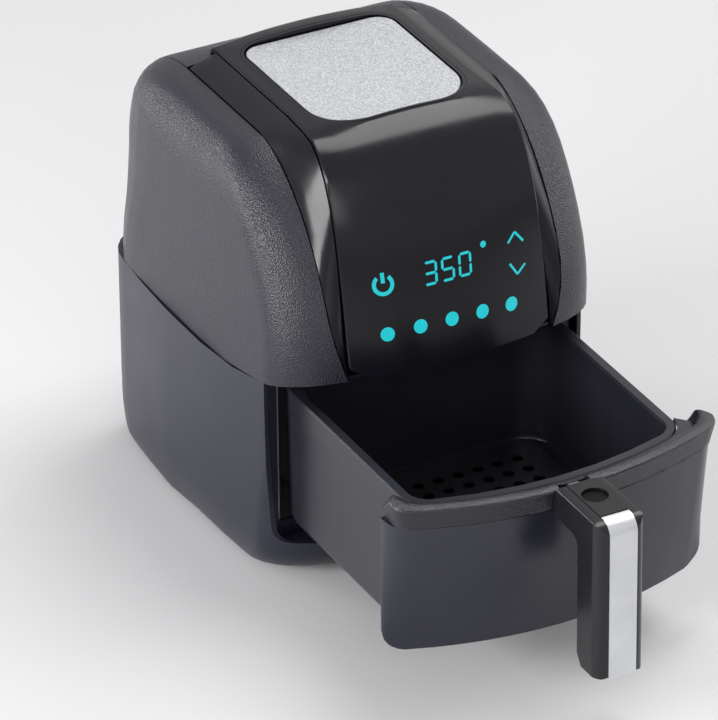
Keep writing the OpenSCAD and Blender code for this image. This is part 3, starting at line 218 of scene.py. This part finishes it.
# grain and depth in metres, and metallic is 1 for bare metal
metals = {
    "sheet steel": {"color": (0.55, 0.56, 0.57), "rough": 0.36, "grain": 0.0012, "depth": 0.00002,
                    "metallic": 1.0,
                    "on": ["bay_liner", "drawer_rails", "upper_floor", "heat_dome", "coil_clips",
                           "coil_guard", "motor_bracket", "air_duct", "fan_motor"]},
    "screw steel": {"color": (0.5, 0.5, 0.51), "rough": 0.3, "grain": 0.0006, "depth": 0.00002,
                    "metallic": 1.0,
                    "on": ["base_screws", "rear_screws", "handle_screws", "latch_lever", "latch_pin",
                           "button_spring", "handle_bracket", "motor_shaft", "thermal_fuse"]},
    "heater sheath": {"color": (0.20, 0.19, 0.18), "rough": 0.5, "grain": 0.0008, "depth": 0.00003,
                      "metallic": 1.0, "on": ["heating_coil"]},
    "fan sheet": {"color": (0.72, 0.72, 0.73), "rough": 0.32, "grain": 0.0008, "depth": 0.00002,
                  "metallic": 1.0, "on": ["convection_fan"]},
    "satin silver": {"color": (0.72, 0.73, 0.75), "rough": 0.34, "grain": 0.0008, "depth": 0.00002,
                     "metallic": 0.8, "on": ["handle_strip"]},
    "probe brass": {"color": (0.66, 0.50, 0.22), "rough": 0.3, "grain": 0.0006, "depth": 0.00002,
                    "metallic": 1.0, "on": ["temperature_sensor"]},
}
# how a metal varies: patches in metres and their tone, and the gloss of its grain
milling = {"patch": 0.03, "darker": 0.9, "brighter": 0.06, "duller": 0.08}

def metal(name, look):
    skin = Finish(name)
    fine = skin.noise(look["grain"], detail=2.0)
    patches = skin.noise(milling["patch"], detail=3.0)
    base = skin.tint(skin.drift(patches), look["color"], scaled(look["color"], milling["darker"]))
    roughness = skin.drift(fine, around(look["rough"], milling["brighter"], milling["duller"]))
    return skin.surface(Base_Color=base, Roughness=roughness, Metallic=look["metallic"],
                        Normal=skin.bump(fine, look["depth"]))

# flake and depth in metres; dark and light bound the painted glint in each flake's colour
sparkle = {"dark": (0.40, 0.41, 0.43), "light": (0.80, 0.81, 0.83), "flake": 0.0006, "paintedGlint": (0.15, 0.95),
           "rough": (0.30, 0.55), "metallic": 0.7, "depth": 0.00022, "on": ["top_plate"]}

def sparklePaint(name, look):
    # metallic paint whose flakes each carry a painted glint in their colour, beside their own roughness and
    # bump
    skin = Finish(name)
    flakes = skin.cells(look["flake"], "Color")
    paintedGlint, lean = (skin.add("ShaderNodeSeparateColor", {}, {"Color": flakes}, part) for part in (0, 1))
    # each flake's colour, from dark to light, is a painted glint
    base = skin.tint(skin.spread(paintedGlint, look["paintedGlint"]), look["dark"], look["light"])
    return skin.surface(Base_Color=base, Roughness=skin.spread(lean, (0.0, 1.0), look["rough"]),
                        Metallic=look["metallic"], Normal=skin.bump(lean, look["depth"]))

finishes = {}
for make, looks in ((grainedPlastic, plastics), (metal, metals), (sparklePaint, {"sparkle silver": sparkle})):
    for name, look in looks.items():
        finishes[name] = make(name, look)
        for node in look["on"]:
            nodes[node].data.materials.clear()
            nodes[node].data.materials.append(finishes[name])
print("finishes set")

# weld in metres, and an edge is sharp over so many degrees
rounding = {"weld": 0.00001, "sharp": 32, "weight": 80}

def roundShading():
    # welds the triangles of a node and shades its flatter edges as round
    tree = bpy.data.node_groups.new("round shading", "GeometryNodeTree")
    for way in ("INPUT", "OUTPUT"):
        tree.interface.new_socket("Geometry", in_out=way, socket_type="NodeSocketGeometry")
    graph = Graph(tree)
    entry = graph.add("NodeGroupInput")
    weld = graph.add("GeometryNodeMergeByDistance", {}, {0: entry, "Distance": rounding["weld"]})
    whole = graph.add("GeometryNodeSetShadeSmooth", {"domain": "FACE"}, {0: weld})
    bend = graph.add("GeometryNodeInputMeshEdgeAngle")
    sharp = graph.add("FunctionNodeCompare", {"data_type": "FLOAT", "operation": "GREATER_THAN"},
                      {0: bend, 1: math.radians(rounding["sharp"])})
    hard = graph.add("GeometryNodeSetShadeSmooth", {"domain": "EDGE"},
                     {0: whole, "Selection": sharp, "Shade Smooth": False})
    graph.add("NodeGroupOutput", {}, {0: hard})
    return tree

shading = roundShading()
for piece in nodes.values():
    piece.modifiers.new("round shading", "NODES").node_group = shading
    even = piece.modifiers.new("even normals", "WEIGHTED_NORMAL")
    even.keep_sharp = True
    even.weight = rounding["weight"]
print("shading rounded")

# in metres: closed is how many turns lie shut at each end, and pitch is theirs in wire radii
coil = {"radius": 0.0052, "wire": 0.0006, "turns": 5.5, "closed": 0.75, "pitch": 2.05, "travel": 0.003,
        "steps": 28, "sides": 10}

def addSpring():
    # round wire with closed ends
    low, high = (Vector(corner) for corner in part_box("button_spring"))
    x, y = (low.x + high.x) / 2, (low.y + high.y) / 2
    bottom, top = low.z + coil["wire"], high.z - coil["wire"]
    count = int(coil["turns"] * coil["steps"])
    free = coil["turns"] - 2 * coil["closed"]
    pitch = coil["pitch"] * coil["wire"]
    rise = top - bottom - 2 * coil["closed"] * pitch
    line = []
    for k in range(count + 1):
        turn = coil["turns"] * k / count
        inside = min(max(turn - coil["closed"], 0), free) / free
        outside = min(turn, coil["closed"]) + max(turn - coil["turns"] + coil["closed"], 0)
        angle = 2 * math.pi * turn
        line.append(Vector((x + coil["radius"] * math.cos(angle), y + coil["radius"] * math.sin(angle),
                            bottom + pitch * outside + rise * inside)))
    shape = bmesh.new()
    sides, rings = coil["sides"], []
    for k, point in enumerate(line):
        way = (line[min(k + 1, count)] - line[max(k - 1, 0)]).normalized()
        out = Vector((point.x - x, point.y - y, 0)).normalized()
        lift = way.cross(out).normalized()
        out = lift.cross(way)
        rings.append([shape.verts.new(point + coil["wire"] * (math.cos(t) * out + math.sin(t) * lift))
                      for t in (2 * math.pi * q / sides for q in range(sides))])
    for a, b in zip(rings, rings[1:]):
        for q in range(sides):
            shape.faces.new((a[q], a[(q + 1) % sides], b[(q + 1) % sides], b[q]))
    shape.faces.new(list(reversed(rings[0])))
    shape.faces.new(rings[-1])
    bmesh.ops.recalc_face_normals(shape, faces=shape.faces)
    for face in shape.faces:
        face.smooth = len(face.verts) == 4
    piece = addObject("coil_spring", meshOf("coil_spring", shape, finishes["screw steel"]))
    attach(piece, "drawer")
    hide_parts("button_spring")
    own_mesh(piece)

addSpring()
print("spring wound")

# in millimetres, with places across the cover and above the worktop, lean as a slope and mouth in degrees;
# proud is how far the symbols stand off the cover, and eye is the small hole at the middle of a dot's quads
symbols = {"proud": 0.06, "longest": 2.2, "cuts": 3, "weld": 0.001, "eye": 0.2}
digits = {"shown": "350", "left": -21.8, "foot": 249.2, "pitch": 14.4, "wide": 11.1, "high": 18.2,
          "lean": 0.06, "bar": 2.0, "gap": 0.3}
power = {"place": (-53.2, 256.6), "radius": 6.95, "stroke": 3.0, "mouth": 38, "sides": 48,
         "stemFoot": 1.2, "stemOver": 0.6}
degree = {"place": (30.2, 268.6), "radius": 2.5, "sides": 24}
arrows = {"stroke": 1.8, "up": [(51.7, 262.9), (58.9, 269.3), (65.7, 260.6)],
          "down": [(51.5, 247.3), (57.6, 237.6), (65.4, 243.3)]}
programs = {"radius": 5.4, "sides": 40,
            "places": [(-53.6, 218.8), (-27.9, 220.2), (-2.3, 220.3), (23.6, 219.2), (49.6, 217.1)]}
millimetres = 1000  # in a metre

def coverTree():
    mesh = nodes["centre_cover"].data
    points = [v.co.copy() for v in mesh.vertices]
    return BVHTree.FromPolygons(points, [tuple(p.vertices) for p in mesh.polygons])

cover = coverTree()

def onCover(x, z):
    # a point seen from the front, set just proud of the cover's skin
    start = Vector((x / millimetres, -1, z / millimetres))
    hit, normal, _, _ = cover.ray_cast(start, Vector((0, 1, 0)))
    if normal.y > 0:
        normal = -normal
    return hit + normal * symbols["proud"] / millimetres

def strokeShape(points, width):
    # one quad for each run of a path
    quads = []
    for (ax, az), (bx, bz) in zip(points, points[1:]):
        run = math.hypot(bx - ax, bz - az)
        ux, uz = (bx - ax) / run, (bz - az) / run
        nx, nz = -uz * width / 2, ux * width / 2
        quads.append([(ax - nx, az - nz), (bx - nx, bz - nz), (bx + nx, bz + nz), (ax + nx, az + nz)])
    return quads

def arcShape(centre, inner, outer, start, end, count):
    # an arc of quads, clockwise from the top
    ring = []
    for k in range(count):
        a, b = (math.radians(start + (end - start) * q / count) for q in (k, k + 1))
        ring.append([(centre[0] + r * math.sin(t), centre[1] + r * math.cos(t))
                     for r, t in ((inner, a), (inner, b), (outer, b), (outer, a))])
    return ring

def dotShape(place, look):
    return arcShape(place, symbols["eye"], look["radius"], 0, 360, look["sides"])

def digitBar(kind, left):
    # one bar of a seven-bar digit, as a leaning six-sided shape
    wide, high, bar, gap = (digits[key] for key in ("wide", "high", "bar", "gap"))
    half = bar / 2
    level = {"top": high - half, "middle": high / 2, "bottom": half}
    if kind in level:
        z = level[kind]
        flat = [(half + gap, z), (bar + gap, z - half), (wide - bar - gap, z - half), (wide - half - gap, z),
                (wide - bar - gap, z + half), (bar + gap, z + half)]
    else:
        side, part = kind
        x = half if side == "left" else wide - half
        foot, head = (half, high / 2) if part == "low" else (high / 2, high - half)
        flat = [(x, foot + gap), (x + half, foot + half + gap), (x + half, head - half - gap),
                (x, head - gap), (x - half, head - half - gap), (x - half, foot + half + gap)]
    return [(left + x + digits["lean"] * z, digits["foot"] + z) for x, z in flat]

bars = {"3": ["top", "middle", "bottom", ("right", "low"), ("right", "high")],
        "5": ["top", "middle", "bottom", ("left", "high"), ("right", "low")],
        "0": ["top", "bottom", ("left", "low"), ("left", "high"), ("right", "low"), ("right", "high")]}

# patch in metres, and brighter is the tone of its patches
teal = {"off": (0.002, 0.05, 0.055), "glow": (0.004, 0.50, 0.56), "brighter": 1.1, "patch": 0.004,
        "rough": 0.3, "strength": 1.0}

def litFinish():
    skin = Finish("lit teal")
    soft = skin.drift(skin.noise(teal["patch"], detail=2.0))
    glow = skin.tint(soft, teal["glow"], scaled(teal["glow"], teal["brighter"]))
    return skin.surface(Base_Color=teal["off"], Roughness=teal["rough"], Emission_Color=glow,
                        Emission_Strength=teal["strength"])

litTeal = litFinish()

def addSymbol(name, outlines):
    # flat outlines are cut fine and laid on the cover
    shape = bmesh.new()
    for outline in outlines:
        shape.faces.new([shape.verts.new((x, 0, z)) for x, z in outline])
    bmesh.ops.remove_doubles(shape, verts=shape.verts, dist=symbols["weld"])
    for _ in range(symbols["cuts"]):
        long = [edge for edge in shape.edges if edge.calc_length() > symbols["longest"]]
        if long:
            bmesh.ops.subdivide_edges(shape, edges=long, cuts=1, use_grid_fill=True)
    bmesh.ops.recalc_face_normals(shape, faces=shape.faces)
    for v in shape.verts:
        v.co = onCover(v.co.x, v.co.z)
    piece = addObject(name, meshOf(name, shape, litTeal))
    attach(piece, "housing")

def addSymbols():
    addSymbol("temperature_digits", [digitBar(kind, digits["left"] + digits["pitch"] * k)
                                     for k, digit in enumerate(digits["shown"]) for kind in bars[digit]])
    addSymbol("degree_mark", dotShape(degree["place"], degree))
    half = power["stroke"] / 2
    x, z = power["place"]
    ring = arcShape((x, z), power["radius"] - half, power["radius"] + half, power["mouth"],
                    360 - power["mouth"], power["sides"])
    stem = strokeShape([(x, z + power["stemFoot"]), (x, z + power["radius"] + half + power["stemOver"])],
                       power["stroke"])
    addSymbol("power_symbol", ring + stem)
    for name in ("up", "down"):
        addSymbol(name + "_arrow", strokeShape(arrows[name], arrows["stroke"]))
    addSymbol("program_dots", [quad for place in programs["places"] for quad in dotShape(place, programs)])

addSymbols()
print("symbols lit")

# reach and patch in metres, darker is the tone of its patches
floor = {"color": (0.74, 0.74, 0.75), "reach": 9.0, "sides": 64, "patch": 0.6, "darker": 0.985, "rough": 0.6}

def addFloor():
    skin = Finish("studio floor")
    tone = skin.drift(skin.noise(floor["patch"], detail=2.0))
    base = skin.tint(tone, floor["color"], scaled(floor["color"], floor["darker"]))
    reach, sides = floor["reach"], floor["sides"]
    angles = [2 * math.pi * k / sides for k in range(sides)]
    rim = [(reach * math.cos(angle), reach * math.sin(angle), 0) for angle in angles]
    mesh = bpy.data.meshes.new("floor")
    mesh.from_pydata(rim, [], [tuple(range(sides))])
    mesh.materials.append(skin.surface(Base_Color=base, Roughness=floor["rough"]))
    disc = addObject("floor", mesh)

addFloor()

# places and sizes in metres, power in watts
lamps = [
    {"name": "left window", "place": (-2.5, -0.35, 0.95), "aim": (0, 0.05, 0.2), "size": (1.7, 1.1),
     "power": 70},
    {"name": "overhead", "place": (0.85, 0.25, 2.3), "aim": (0, 0.05, 0.3), "size": (1.3, 1.5),
     "power": 34},
    {"name": "right window", "place": (2.5, -0.3, 0.9), "aim": (0, 0, 0.2), "size": (1.3, 1.4),
     "power": 20},
    {"name": "front fill", "place": (-0.8, -3.0, 1.7), "aim": (0, -0.1, 0.15), "size": (1.6, 1.6),
     "power": 20},
    {"name": "rear window", "place": (-1.6, 1.9, 0.55), "aim": (0, 0.1, 0.25), "size": (0.8, 0.7),
     "power": 20},
]

def addLamps():
    for lamp in lamps:
        data = bpy.data.lights.new(lamp["name"], "AREA")
        data.shape = "RECTANGLE"
        data.size, data.size_y = lamp["size"]
        data.energy = lamp["power"]
        light = addObject(lamp["name"], data)
        way = Vector(lamp["place"]) - Vector(lamp["aim"])
        facing = way.to_track_quat("Z", "Y").to_matrix().to_4x4()
        light.matrix_world = Matrix.Translation(lamp["place"]) @ facing

addLamps()

# backdrop is how much paler the room is where it is seen than as light
room = {"color": (1, 1, 1), "light": 0.25, "backdrop": 0.45}

def addRoom():
    world = bpy.data.worlds.new("studio")
    bpy.context.scene.world = world
    world.use_nodes = True
    graph = Graph(world.node_tree)
    straight, glossy, through = (graph.add("ShaderNodeLightPath", out=kind) for kind in
                                 ("Is Camera Ray", "Is Glossy Ray", "Is Transmission Ray"))
    background = graph.tree.nodes["Background"]
    plug(graph.tree, background.inputs["Color"], (*room["color"], 1))
    plug(graph.tree, background.inputs["Strength"],
         room["light"] + room["backdrop"] * (straight + glossy + through))

addRoom()
bpy.context.scene.view_settings.view_transform = "Standard"
print("studio ready")
